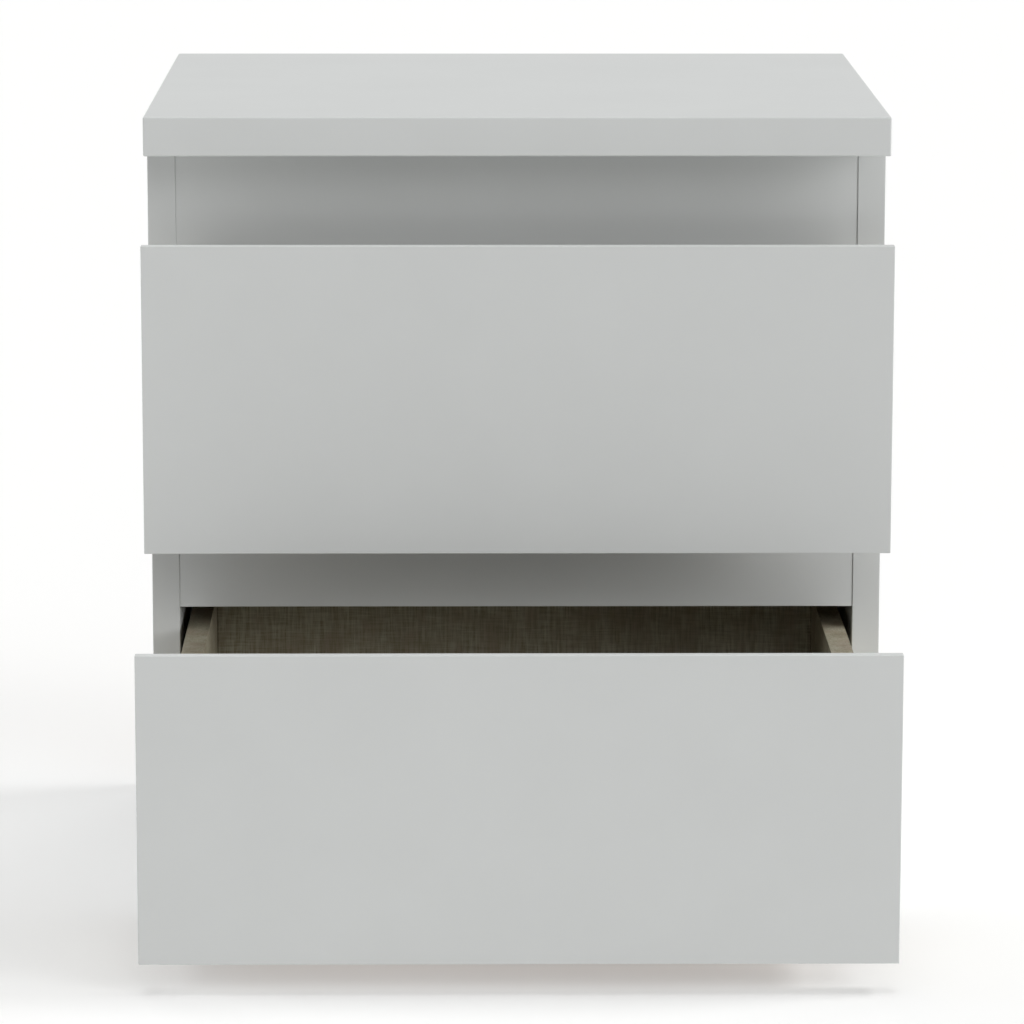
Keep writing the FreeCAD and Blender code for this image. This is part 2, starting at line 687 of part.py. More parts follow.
def make_drawer_back(name, box_y, box_z):
    """Drawer back between the sides, standing on the bottom."""
    rise = f"(bottom_rise + {GROOVE_HEIGHT})"
    body = new_board(
        f"{name}_drawer_back",
        (f"(-{DRAWER_INNER} / 2)", f"({box_y} + drawer_length - drawer_back_inset - drawer_board)",
         f"({box_z} + {rise})"),
        (DRAWER_INNER, "drawer_board", f"(drawer_height - {rise})"),
    )
    centres = [("drawer_board / 2", f"({height} - {rise})") for height in BACK_SCREW_RISES]
    for hand in HANDS.values():
        end = "0" if hand == LEFT else DRAWER_INNER
        bore(body, "X", end, -hand, centres, "screw_radius + hole_play",
             "back_screw_length - drawer_board + back_screw_sink + hole_end")
    quarter = f"{DRAWER_INNER} / 4"
    below = [(from_end(DRAWER_INNER, quarter, hand), "drawer_board / 2") for hand in HANDS.values()]
    bore(body, "Z", "0", 1, below, "screw_radius + hole_play", "bottom_screw_length")


def make_drawer_bottom(name, box_y, box_z):
    """Hardboard bottom, in the grooves of the front and sides and screwed to the back from below."""
    overlap = "(bottom_groove - 2 * groove_play)"
    width = f"({DRAWER_INNER} + 2 * {overlap})"
    depth = f"({overlap} + drawer_length - drawer_back_inset)"
    body = new_board(
        f"{name}_drawer_bottom",
        (f"(-{width} / 2)", f"({box_y} - {overlap})", f"({box_z} + bottom_rise + groove_play)"),
        (width, depth, "drawer_bottom"),
    )
    centres = []
    for hand in HANDS.values():
        across = from_end(width, f"{overlap} + {DRAWER_INNER} / 4", hand)
        centres.append((across, f"({depth} - drawer_board / 2)"))
    bore(body, "Z", "0", 1, centres, "screw_radius + hole_play", "drawer_bottom")


def make_guide(name, side, hand, box_y, box_z):
    """Guide block at the upper rear corner of a drawer side. It also meets the stop peg."""
    level = f"({box_z} + drawer_height - guide_drop - guide_height)"
    half = f"({DRAWER_OUTER} / 2)"
    corner_x = f"(-{half} - guide_width)" if hand == LEFT else half
    body = new_board(
        f"{name}_drawer_{side}_guide",
        (corner_x, f"({box_y} + drawer_length - guide_length)", level),
        ("guide_width", "guide_length", "guide_height"),
    )
    face = value("guide_width") if hand == RIGHT else 0
    round_edges(
        body, "edge_radius",
        lambda middle, direction: abs(middle.x - face) < 0.1,
    )
    reach = "guide_pin_length"
    start = "guide_width" if hand == LEFT else f"(-{reach})"
    sketch = new_sketch(body, "X", start)
    for drop in GUIDE_PIN_DROPS:
        draw_circle(sketch, "guide_length / 2", drop, "guide_pin")
    pad(body, sketch, reach, "X")


def place_drawer_fasteners(name, box_y, box_z, masters):
    """Cams, bolts, dowels and screws of one drawer."""
    cams, bolts, dowels, screws = [], [], [], []
    back = f"({box_y} + drawer_length - drawer_back_inset - drawer_board / 2)"
    for hand in HANDS.values():
        inward = AXES["X"] * -hand
        middle = f"({hand} * ({DRAWER_OUTER} / 2 - drawer_board / 2))"
        inner = f"({hand} * {DRAWER_INNER} / 2)"
        head = f"({hand} * ({DRAWER_OUTER} / 2 - back_screw_sink))"
        for rise in DRAWER_CAM_RISES:
            level = f"({box_z} + {rise})"
            cams.append((masters["drawer_cam"], (inner, f"({box_y} + cam_reach)", level), inward, -AXES["Y"]))
            bolts.append((masters["drawer_bolt"], (middle, box_y, level), AXES["Y"], AXES["X"]))
        for rise in DRAWER_DOWEL_RISES:
            place = (middle, box_y, f"({box_z} + {rise})")
            dowels.append((masters["drawer_dowel"], place, AXES["Y"], AXES["X"]))
        for rise in BACK_SCREW_RISES:
            screws.append((masters["back_screw"], (head, back, f"({box_z} + {rise})"), -inward, AXES["Z"]))
        below = (f"({hand} * {DRAWER_INNER} / 4)", back, f"({box_z} + bottom_rise + groove_play)")
        screws.append((masters["bottom_screw"], below, -AXES["Z"], AXES["X"]))
    place_copies(f"{name}_drawer_cams", cams)
    place_copies(f"{name}_drawer_bolts", bolts)
    place_copies(f"{name}_drawer_dowels", dowels)
    place_copies(f"{name}_drawer_screws", screws)


def make_drawer(name, step, masters):
    """One drawer: front, box, guides and fasteners."""
    face_y = f"({CARCASS_FRONT} - front_gap - front_board - {name}_open)"
    box_y = f"({face_y} + front_board)"
    box_z = f"(front_level + drawer_rise + {step} * front_pitch)"
    make_drawer_front(name, face_y, step)
    for side, hand in HANDS.items():
        make_drawer_side(name, side, hand, box_y, box_z)
        make_guide(name, side, hand, box_y, box_z)
    make_drawer_back(name, box_y, box_z)
    make_drawer_bottom(name, box_y, box_z)
    place_drawer_fasteners(name, box_y, box_z, masters)


# ---------------------------------------------------------------- fasteners of the cabinet

def panel_y(place):
    """Y of a place that is measured from the front edge of the side panels."""
    return f"({CARCASS_FRONT} + {place})"


def place_cabinet_fasteners(masters):
    """Cams, bolts, dowels, nails, screws, stops and glides of the cabinet."""
    cams, bolts, dowels, nails, screws, stops, glides = [], [], [], [], [], [], []
    bottom_middle = "(bottom_level + board / 2)"
    rear = f"({CARCASS_REAR} + back_board)"
    for hand in HANDS.values():
        inward = AXES["X"] * -hand
        inner = f"({hand} * {INNER_WIDTH} / 2)"
        middle = f"({hand} * (cabinet_width / 2 - board / 2))"
        cam_x = f"({hand} * ({INNER_WIDTH} / 2 - cam_reach))"
        for level in RAIL_LEVELS.values():
            bolt_z = f"({level} + {RAIL_BOLT_RISE})"
            dowel_z = f"({level} + {RAIL_DOWEL_RISE})"
            rail_y = panel_y(RAIL_MIDDLE)
            rear_face = f"({RAIL_FRONT} + board)"
            cams.append((masters["cam"], (cam_x, rear_face, bolt_z), AXES["Y"], -inward))
            bolts.append((masters["bolt"], (inner, rail_y, bolt_z), inward, AXES["Z"]))
            dowels.append((masters["dowel"], (inner, rail_y, dowel_z), inward, AXES["Z"]))
        for place in CAM_PLACES:
            along = panel_y(place)
            cams.append((masters["cam"], (cam_x, along, "bottom_level"), -AXES["Z"], -inward))
            bolts.append((masters["bolt"], (inner, along, bottom_middle), inward, AXES["Z"]))
            cams.append((masters["cam"], (inner, along, f"({UNDER_TOP} - cam_reach)"), inward, AXES["Z"]))
            bolts.append((masters["bolt"], (middle, along, UNDER_TOP), -AXES["Z"], AXES["X"]))
        for place in DOWEL_PLACES:
            along = panel_y(place)
            dowels.append((masters["dowel"], (inner, along, bottom_middle), inward, AXES["Z"]))
            dowels.append((masters["dowel"], (middle, along, UNDER_TOP), -AXES["Z"], AXES["X"]))
        for level in NAIL_LEVELS:
            nails.append((masters["nail"], (middle, rear, level), AXES["Y"], AXES["X"]))
        for step in DRAWERS.values():
            box_z = f"(front_level + drawer_rise + {step} * front_pitch)"
            screw_x = f"({hand} * ({INNER_WIDTH} / 2 - runner_width + runner_sink))"
            screw_z = f"({box_z} + runner_rise + runner_groove_height / 2)"
            for place in RUNNER_SCREWS:
                along = panel_y(f"(runner_setback + {place})")
                screws.append((masters["runner_screw"], (screw_x, along, screw_z), inward, AXES["Z"]))
            stop = (inner, panel_y("stop_setback"), f"({box_z} + stop_rise)")
            stops.append((masters["stop"], stop, inward, AXES["Z"]))
        for place in GLIDE_PLACES:
            glides.append((masters["glide"], (middle, panel_y(place), "0"), AXES["Z"], AXES["X"]))
    for place in BOTTOM_NAILS:
        across = f"({place} - {INNER_WIDTH} / 2)"
        nails.append((masters["nail"], (across, rear, bottom_middle), AXES["Y"], AXES["X"]))
    place_copies("cabinet_cams", cams)
    place_copies("cabinet_bolts", bolts)
    place_copies("cabinet_dowels", dowels)
    place_copies("back_nails", nails)
    place_copies("runner_screws", screws)
    place_copies("drawer_stops", stops)
    place_copies("foot_glides", glides)


def check_model():
    """Stop if any object failed, a cut missed its board, or a node is not a valid closed shape."""
    for item in doc.Objects:
        if "Invalid" in item.State or "Error" in item.State:
            raise RuntimeError(f"{item.Label} failed: {item.State}")
    for base, feature, least_volume in cuts:
        removed = base.Shape.Volume - feature.Shape.Volume
        if removed < least_volume:
            raise RuntimeError(f"{feature.Label} removed {removed:.1f} mm3, less than {least_volume:.1f}")
    for node in nodes:
        shape = node.Shape
        if shape.isNull() or not shape.isValid() or not shape.Solids:
            raise RuntimeError(f"{node.Label} is not a valid solid")


def main():
    """Build every piece, check the model and write one STEP file per node."""
    fill_sheet()
    masters = {
        "cam": make_cam("cam_master", "cam_depth", "board / 2", "bolt_shank"),
        "drawer_cam": make_cam("drawer_cam_master", "drawer_cam_depth", "drawer_board / 2",
                               "drawer_bolt_shank"),
        "bolt": make_bolt("bolt_master", "bolt_shank"),
        "drawer_bolt": make_bolt("drawer_bolt_master", "drawer_bolt_shank"),
        "dowel": make_dowel("dowel_master", "dowel_radius", "dowel_length", "dowel_sink"),
        "drawer_dowel": make_dowel("drawer_dowel_master", "drawer_dowel_radius", "drawer_dowel_length",
                                   "drawer_dowel_sink"),
        "runner_screw": make_screw("runner_screw_master", "runner_screw_length"),
        "bottom_screw": make_screw("bottom_screw_master", "bottom_screw_length"),
        "back_screw": make_screw("back_screw_master", "back_screw_length"),
        "nail": make_nail(),
        "glide": make_glide(),
        "stop": make_stop(),
    }
    make_top_panel()
    for side, hand in HANDS.items():
        make_side_panel(side, hand)
    for label, level in RAIL_LEVELS.items():
        make_rail(label, level)
    make_bottom_panel()
    make_back_panel()
    for name, step in DRAWERS.items():
        for side, hand in HANDS.items():
            make_runner(name, side, step, hand)
    place_cabinet_fasteners(masters)
    for name, step in DRAWERS.items():
        make_drawer(name, step, masters)
    doc.recompute()
    check_model()
    os.makedirs("parts", exist_ok=True)
    for node in nodes:
        node.Shape.exportStep(f"parts/{node.Label}.step")
        print(f"{node.Label}: {len(node.Shape.Solids)} solids, {node.Shape.Volume / 1000:.2f} cm3")
    print(len(nodes), "nodes")


main()
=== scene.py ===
"""Bedside cabinet with two drawers: finishes, detailed boards and fittings, studio light and camera.

Metres. +X is to the right, +Y to the back, +Z up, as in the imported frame, which gives every place.
"""
import logging
import math
from dataclasses import dataclass, field
from enum import Enum

import bpy
import numpy as np
from mathutils import Euler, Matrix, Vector
from mathutils.geometry import tessellate_polygon


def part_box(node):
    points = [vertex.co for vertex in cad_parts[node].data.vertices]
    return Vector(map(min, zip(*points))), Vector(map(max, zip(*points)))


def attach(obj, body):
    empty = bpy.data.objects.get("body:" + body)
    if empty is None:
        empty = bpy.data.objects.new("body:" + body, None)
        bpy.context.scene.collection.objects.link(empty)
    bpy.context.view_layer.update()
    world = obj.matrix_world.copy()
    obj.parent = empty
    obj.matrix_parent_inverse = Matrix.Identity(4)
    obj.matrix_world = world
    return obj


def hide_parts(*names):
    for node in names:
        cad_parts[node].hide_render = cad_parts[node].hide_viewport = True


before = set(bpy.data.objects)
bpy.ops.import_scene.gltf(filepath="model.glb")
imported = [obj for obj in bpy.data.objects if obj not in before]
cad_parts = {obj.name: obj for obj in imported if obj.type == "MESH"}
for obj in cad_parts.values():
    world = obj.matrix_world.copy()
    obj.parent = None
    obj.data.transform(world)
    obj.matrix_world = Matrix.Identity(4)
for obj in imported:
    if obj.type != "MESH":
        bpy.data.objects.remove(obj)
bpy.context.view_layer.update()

MM = 0.001
WHITE = (1.0, 1.0, 1.0, 1.0)
BORE_SIDES = 32
FACING = 0.9            # a face looks along an axis when its normal has at least this much of it
MIX_COLOURS = (6, 7)    # inputs of a Mix node that take its two colours
MIX_RESULT = 2          # output of a Mix node that gives the mixed colour
LOG = logging.getLogger("nightstand")


# ------------------------------------------------------------------ colour and node helpers

def linear(sheet_colour: str) -> tuple[float, float, float, float]:
    """Turn an sRGB hex colour to linear light.

    Args:
        sheet_colour: six hex digits, such as "BDBFBE".

    Returns:
        Red, green, blue and an alpha of 1.
    """
    parts = [int(sheet_colour[place:place + 2], 16) / 255 for place in (0, 2, 4)]
    light = [part / 12.92 if part <= 0.04045 else ((part + 0.055) / 1.055) ** 2.4 for part in parts]
    return (*light, 1.0)


def add_node(
    tree: bpy.types.NodeTree,
    kind: str,
    settings: dict | None = None,
    links: dict | None = None,
) -> bpy.types.Node:
    """Add a shader node with its settings and links.

    Args:
        tree: the material's or world's node tree.
        kind: Blender's name of the node type.
        settings: values by the name of a property, or by the name or number of an input.
        links: output sockets by the name or number of the input that they feed.

    Returns:
        The new node.
    """
    node = tree.nodes.new(kind)
    for key, value in (settings or {}).items():
        if isinstance(key, str) and hasattr(node, key):
            setattr(node, key, value)
        else:
            node.inputs[key].default_value = value
    for key, socket in (links or {}).items():
        tree.links.new(socket, node.inputs[key])
    return node


def per_metre(period_mm: float) -> float:
    """The texture scale that repeats a pattern about once in that many millimetres."""
    return 1.0 / (period_mm * MM)


@dataclass(frozen=True)
class Stipple:
    """A noise pattern on Object coordinates, with its own period along each axis, in millimetres."""

    period_mm: tuple[float, float, float]
    detail: float = 2.0
    roughness: float = 0.5

    def socket(self, tree: bpy.types.NodeTree, place: bpy.types.NodeSocket) -> bpy.types.NodeSocket:
        """Add the pattern to a tree.

        Args:
            tree: the node tree.
            place: the Object coordinate.

        Returns:
            The pattern's value, from 0 to 1.
        """
        scale = tuple(per_metre(period) for period in self.period_mm)
        mapping = add_node(tree, "ShaderNodeMapping", {"Scale": scale}, {"Vector": place})
        noise = add_node(
            tree, "ShaderNodeTexNoise",
            {"Scale": 1.0, "Detail": self.detail, "Roughness": self.roughness},
            {"Vector": mapping.outputs["Vector"]},
        )
        return noise.outputs["Fac"]


def new_material(name: str) -> tuple[bpy.types.Material, bpy.types.NodeTree, bpy.types.NodeSocket]:
    """Make an empty node material.

    Args:
        name: the finish's name.

    Returns:
        The material, its tree and the Object coordinate.
    """
    material = bpy.data.materials.new(name)
    material.use_nodes = True
    tree = material.node_tree
    tree.nodes.clear()
    place = add_node(tree, "ShaderNodeTexCoord").outputs["Object"]
    return material, tree, place


def blend(
    tree: bpy.types.NodeTree,
    share: bpy.types.NodeSocket,
    first: bpy.types.NodeSocket | tuple,
    second: bpy.types.NodeSocket | tuple,
    low: float = 0.0,
    high: float = 1.0,
) -> bpy.types.NodeSocket:
    """Mix two colours by a pattern.

    Args:
        tree: the node tree.
        share: the pattern.
        first: colour or socket where the pattern is at or below low.
        second: colour or socket where the pattern is at or above high.
        low: the pattern's value for the first colour.
        high: the pattern's value for the second colour.

    Returns:
        The mixed colour.
    """
    ramp = add_node(tree, "ShaderNodeMapRange", {"From Min": low, "From Max": high}, {"Value": share})
    mix = add_node(tree, "ShaderNodeMix", {"data_type": "RGBA"}, {"Factor": ramp.outputs["Result"]})
    for place, colour in zip(MIX_COLOURS, (first, second)):
        if isinstance(colour, tuple):
            mix.inputs[place].default_value = colour
        else:
            tree.links.new(colour, mix.inputs[place])
    return mix.outputs[MIX_RESULT]


def close_material(
    tree: bpy.types.NodeTree,
    colour: bpy.types.NodeSocket | None,
    height: bpy.types.NodeSocket,
    depth_mm: float,
    shader: dict,
) -> None:
    """Add the shader, its bump and the output.

    Args:
        tree: the node tree.
        colour: the base colour, or None where the shader's own setting gives it.
        height: the relief's pattern, from 0 to 1.
        depth_mm: the relief's depth.
        shader: constant inputs of the Principled shader.
    """
    relief = {"Strength": 1.0, "Distance": depth_mm * MM}
    bump = add_node(tree, "ShaderNodeBump", relief, {"Height": height})
    links = {"Normal": bump.outputs["Normal"]}
    if colour is not None:
        links["Base Color"] = colour
    surface = add_node(tree, "ShaderNodeBsdfPrincipled", shader, links)
    add_node(tree, "ShaderNodeOutputMaterial", None, {"Surface": surface.outputs["BSDF"]})


# ------------------------------------------------------------------ finishes

@dataclass(frozen=True)
class Melamine:
    """Light grey melamine: resin paper pressed hot on particle board under an embossed plate.

    To the eye it is one even, slightly cool grey with a silk-matt sheen. Its emboss is a stipple of
    about a millimetre that only softens the highlights, and the tone wanders by about one percent.
    """

    tone: str = "CDCFCE"
    cloud: str = "CBCDCC"
    roughness: float = 0.52
    cloud_mm: float = 60.0
    emboss_mm: float = 0.9
    emboss_depth_mm: float = 0.006

    def build(self) -> bpy.types.Material:
        """Build the finish.

        Returns:
            The finished material.
        """
        material, tree, place = new_material("pressed_grey_melamine")
        cloud = Stipple((self.cloud_mm,) * 3, 3.0).socket(tree, place)
        colour = blend(tree, cloud, linear(self.tone), linear(self.cloud), 0.3, 0.7)
        emboss = Stipple((self.emboss_mm,) * 3, 1.0).socket(tree, place)
        shader = {"Roughness": self.roughness, "IOR": 1.5}
        close_material(tree, colour, emboss, self.emboss_depth_mm, shader)
        return material


@dataclass(frozen=True)
class LinenFoil:
    """Finish foil on the drawer boards: paper printed and embossed like woven linen.

    Threads about a millimetre wide cross each other, upright ones stronger than level ones, and each
    is lighter or darker along its length. Wide patches lean to brown.
    """

    thread: str = "B4AF9C"
    shade: str = "867F68"
    warm: str = "A39684"
    thread_mm: float = 0.9
    run_mm: float = 13.0
    level_share: float = 0.7
    patch_mm: tuple[float, float, float] = (14.0, 14.0, 22.0)
    thread_depth_mm: float = 0.05
    roughness: float = 0.62

    def build(self) -> bpy.types.Material:
        """Build the finish.

        Returns:
            The finished material.
        """
        material, tree, place = new_material("embossed_linen_foil")
        upright = Stipple((self.thread_mm, self.thread_mm, self.run_mm), 3.0, 0.6).socket(tree, place)
        level = Stipple((self.run_mm, self.run_mm, self.thread_mm), 3.0, 0.6).socket(tree, place)
        share = {"operation": "MULTIPLY_ADD", 1: self.level_share}
        weave = add_node(tree, "ShaderNodeMath", share, {0: level, 2: upright}).outputs[0]
        patches = Stipple(self.patch_mm, 2.0).socket(tree, place)
        ground = blend(tree, patches, linear(self.thread), linear(self.warm), 0.42, 0.66)
        colour = blend(tree, weave, linear(self.shade), ground, 0.64, 1.04)
        shader = {"Roughness": self.roughness, "IOR": 1.48}
        close_material(tree, colour, weave, self.thread_depth_mm, shader)
        return material


@dataclass(frozen=True)
class Hardboard:
    """Raw hardboard: wood fibres pressed under heat to a dense brown sheet, smooth with fine flecks."""

    fibre: str = "A58561"
    dark_fibre: str = "86684A"
    cloud: str = "9C7C59"
    fleck_mm: tuple[float, float, float] = (1.6, 1.6, 0.7)
    cloud_mm: float = 45.0
    fleck_depth_mm: float = 0.03
    roughness: float = 0.6

    def build(self) -> bpy.types.Material:
        """Build the finish.

        Returns:
            The finished material.
        """
        material, tree, place = new_material("pressed_hardboard")
        flecks = Stipple(self.fleck_mm, 4.0, 0.7).socket(tree, place)
        cloud = Stipple((self.cloud_mm,) * 3, 3.0).socket(tree, place)
        ground = blend(tree, cloud, linear(self.fibre), linear(self.cloud), 0.35, 0.65)
        colour = blend(tree, flecks, linear(self.dark_fibre), ground, 0.34, 0.56)
        shader = {"Roughness": self.roughness, "IOR": 1.5}
        close_material(tree, colour, flecks, self.fleck_depth_mm, shader)
        return material


@dataclass(frozen=True)
class Chipboard:
    """Sawn edge of particle board: pale wood chips two to six millimetres long, packed with resin."""

    pale_chip: str = "C9AC82"
    dark_chip: str = "8D6D48"
    chip_mm: tuple[float, float, float] = (1.6, 4.0, 4.0)
    chip_depth_mm: float = 0.3
    roughness: float = 0.85

    def build(self) -> bpy.types.Material:
        """Build the finish.

        Returns:
            The finished material.
        """
        material, tree, place = new_material("sawn_particle_board")
        scale = tuple(per_metre(period) for period in self.chip_mm)
        mapping = add_node(tree, "ShaderNodeMapping", {"Scale": scale}, {"Vector": place})
        chips = add_node(
            tree, "ShaderNodeTexVoronoi", {"feature": "F1", "Scale": 1.0, "Randomness": 1.0},
            {"Vector": mapping.outputs["Vector"]},
        )
        tone = add_node(tree, "ShaderNodeSeparateColor", None, {"Color": chips.outputs["Color"]})
        colour = blend(tree, tone.outputs[0], linear(self.dark_chip), linear(self.pale_chip), 0.0, 0.8)
        shader = {"Roughness": self.roughness, "IOR": 1.45}
        close_material(tree, colour, chips.outputs["Distance"], self.chip_depth_mm, shader)
        return material


@dataclass(frozen=True)
class MouldedPlastic:
    """Injection-moulded grey polypropylene: a matt skin with a fine spark-eroded grain, slightly paler
    in long patches where the melt flowed."""

    tone: str = "C9CBCA"
    paler: float = 1.06
    grain_mm: float = 0.5
    flow_mm: tuple[float, float, float] = (18.0, 6.0, 6.0)
    grain_depth_mm: float = 0.01
    roughness: float = 0.48

    def build(self) -> bpy.types.Material:
        """Build the finish.

        Returns:
            The finished material.
        """
        material, tree, place = new_material("moulded_polypropylene")
        grain = Stipple((self.grain_mm,) * 3, 1.0).socket(tree, place)
        flow = Stipple(self.flow_mm, 2.0).socket(tree, place)
        base = linear(self.tone)
        paler = tuple(min(1.0, part * self.paler) for part in base[:3]) + (1.0,)
        colour = blend(tree, flow, base, paler, 0.3, 0.7)
        shader = {"Roughness": self.roughness, "IOR": 1.49}
        close_material(tree, colour, grain, self.grain_depth_mm, shader)
        return material


@dataclass(frozen=True)
class ZincPlate:
    """Bright zinc plating on die-cast and cold-headed steel, brushed by handling, a little yellow."""

    tone: str = "B9B8B2"
    tarnish: str = "9C9A90"
    scuff_mm: tuple[float, float, float] = (0.4, 0.4, 3.0)
    scuff_depth_mm: float = 0.01
    roughness: float = 0.38

    def build(self) -> bpy.types.Material:
        """Build the finish.

        Returns:
            The finished material.
        """
        material, tree, place = new_material("zinc_plated_steel")
        scuffs = Stipple(self.scuff_mm, 3.0, 0.6).socket(tree, place)
        colour = blend(tree, scuffs, linear(self.tone), linear(self.tarnish), 0.4, 0.8)
        shader = {"Metallic": 1.0, "Roughness": self.roughness}
        close_material(tree, colour, scuffs, self.scuff_depth_mm, shader)
        return material


@dataclass(frozen=True)
class Beech:
    """Turned beech dowel: pale pink-brown wood with short dark flecks along the grain."""

    wood: str = "C79F73"
    fleck: str = "9C7348"
    fleck_mm: tuple[float, float, float] = (2.5, 0.5, 0.5)
    fleck_depth_mm: float = 0.04
    roughness: float = 0.7

    def build(self) -> bpy.types.Material:
        """Build the finish.

        Returns:
            The finished material.
        """
        material, tree, place = new_material("turned_beech")
        flecks = Stipple(self.fleck_mm, 3.0, 0.6).socket(tree, place)
        colour = blend(tree, flecks, linear(self.fleck), linear(self.wood), 0.3, 0.52)
        shader = {"Roughness": self.roughness, "IOR": 1.5}
        close_material(tree, colour, flecks, self.fleck_depth_mm, shader)
        return material


@dataclass
class Palette:
    """Every finish of the cabinet, built once."""

    melamine: bpy.types.Material = field(default_factory=lambda: Melamine().build())
    foil: bpy.types.Material = field(default_factory=lambda: LinenFoil().build())
    hardboard: bpy.types.Material = field(default_factory=lambda: Hardboard().build())
    chipboard: bpy.types.Material = field(default_factory=lambda: Chipboard().build())
    plastic: bpy.types.Material = field(default_factory=lambda: MouldedPlastic().build())
    zinc: bpy.types.Material = field(default_factory=lambda: ZincPlate().build())
    beech: bpy.types.Material = field(default_factory=lambda: Beech().build())


# ------------------------------------------------------------------ surfaces

class Along(Enum):
    """The axis that a profile is carried along, with the axes of the profile's own plane."""

    X = (1, 2, 0)
    Y = (2, 0, 1)
    Z = (0, 1, 2)


class Side(Enum):
    """A side of the cabinet. The value is 1 where its inner face looks up the X axis, else -1."""

    LEFT = 1
    RIGHT = -1


class Level(Enum):
    """Which of the two drawers, by the word that its nodes' names begin with."""

    LOWER = "lower"
    UPPER = "upper"


@dataclass(frozen=True)
class Corner:
    """A corner of a profile, in metres, with the radius of its rounding."""

    across: float
    up: float
    radius: float = 0.0


def outline(corners: list[Corner], steps: int) -> tuple[np.ndarray, np.ndarray, np.ndarray]:
    """Sample a closed anticlockwise profile whose corners are rounded by tangent arcs.

    An arc of radius r starts and ends r times the tangent of half the turn away from its corner. Its
    points lie at even angles about the arc's centre. A sharp corner is one point.

    Args:
        corners: the profile's corners.
        steps: parts of each arc.

    Returns:
        Points, each point's inset (how far it moves when the profile shrinks by one), and for each
        stretch from a point to the next the outward normals at its two ends.
    """
    place = np.array([(corner.across, corner.up) for corner in corners])
    leaving = np.roll(place, -1, axis=0) - place
    leaving /= np.linalg.norm(leaving, axis=1, keepdims=True)
    arriving = np.roll(leaving, 1, axis=0)
    normal_in = np.stack([arriving[:, 1], -arriving[:, 0]], axis=1)
    normal_out = np.stack([leaving[:, 1], -leaving[:, 0]], axis=1)
    points, insets, starts, ends = [], [], [], []
    for number, corner in enumerate(corners):
        first, last = normal_in[number], normal_out[number]
        mitre = (first + last) / (1 + first @ last)
        if corner.radius > 0:
            centre = place[number] - corner.radius * mitre
            turn = math.atan2(first[0] * last[1] - first[1] * last[0], first @ last)
            angle = math.atan2(first[1], first[0]) + turn * np.linspace(0, 1, steps + 1)
            spokes = np.stack([np.cos(angle), np.sin(angle)], axis=1)
            points.append(centre + corner.radius * spokes)
            insets.append(spokes)
            starts.append(np.vstack([spokes[:-1], last]))
            ends.append(np.vstack([spokes[1:], last]))
        else:
            points.append(place[number][None])
            insets.append(mitre[None])
            starts.append(last[None])
            ends.append(last[None])
    normals = np.stack([np.vstack(starts), np.vstack(ends)], axis=1)
    return np.vstack(points), np.vstack(insets), normals


@dataclass(frozen=True)
class Bore:
    """A blind round hole in the far end face of a prism, in the profile's own plane, in metres."""

    across: float
    up: float
    radius: float
    depth: float


def pierced_cap(
    rim: np.ndarray,
    rim_start: int,
    bores: list[Bore],
    level: float,
    first_free: int,
) -> tuple[np.ndarray, list[list[int]]]:
    """Close a prism's far end with a flat face that has blind holes.

    A hole's rim is (c + r cos a, d + r sin a) for even angles a. It is carried down to the hole's
    depth, where a disc closes it. The face between the rims is cut into triangles.

    Args:
        rim: the last ring of the prism, in the profile's plane.
        rim_start: number of the ring's first vertex.
        bores: the holes.
        level: the face's place on the axis.
        first_free: number of the first new vertex.

    Returns:
        Rows of across, up and axis place for the new vertices, and the new faces.
    """
    angle = np.arange(BORE_SIDES) * 2 * math.pi / BORE_SIDES
    spokes = np.stack([np.cos(angle), np.sin(angle)], axis=1)
    circles = [np.array([bore.across, bore.up]) + bore.radius * spokes for bore in bores]
    numbers = [rim_start + np.arange(len(rim))]
    vertices, faces = [], []
    spots = np.arange(BORE_SIDES)
    for place, (bore, circle) in enumerate(zip(bores, circles)):
        upper = first_free + 2 * BORE_SIDES * place + spots
        lower = upper + BORE_SIDES
        numbers.append(upper)
        for height in (level, level - bore.depth):
            vertices.append(np.column_stack([circle, np.full(BORE_SIDES, height)]))
        walls = np.stack([upper, lower, np.roll(lower, -1), np.roll(upper, -1)], axis=1)
        faces += walls.tolist()
        faces.append(lower.tolist())
    loops = [[Vector((*point, 0.0)) for point in loop] for loop in [rim, *circles]]
    triangles = np.array(tessellate_polygon(loops))
    flat = np.vstack([rim, *circles])[triangles]
    edge = flat[:, 1:] - flat[:, :1]
    backwards = edge[:, 0, 0] * edge[:, 1, 1] < edge[:, 0, 1] * edge[:, 1, 0]
    triangles[backwards] = triangles[backwards][:, ::-1]
    faces += np.concatenate(numbers)[triangles].tolist()
    return np.vstack(vertices), faces


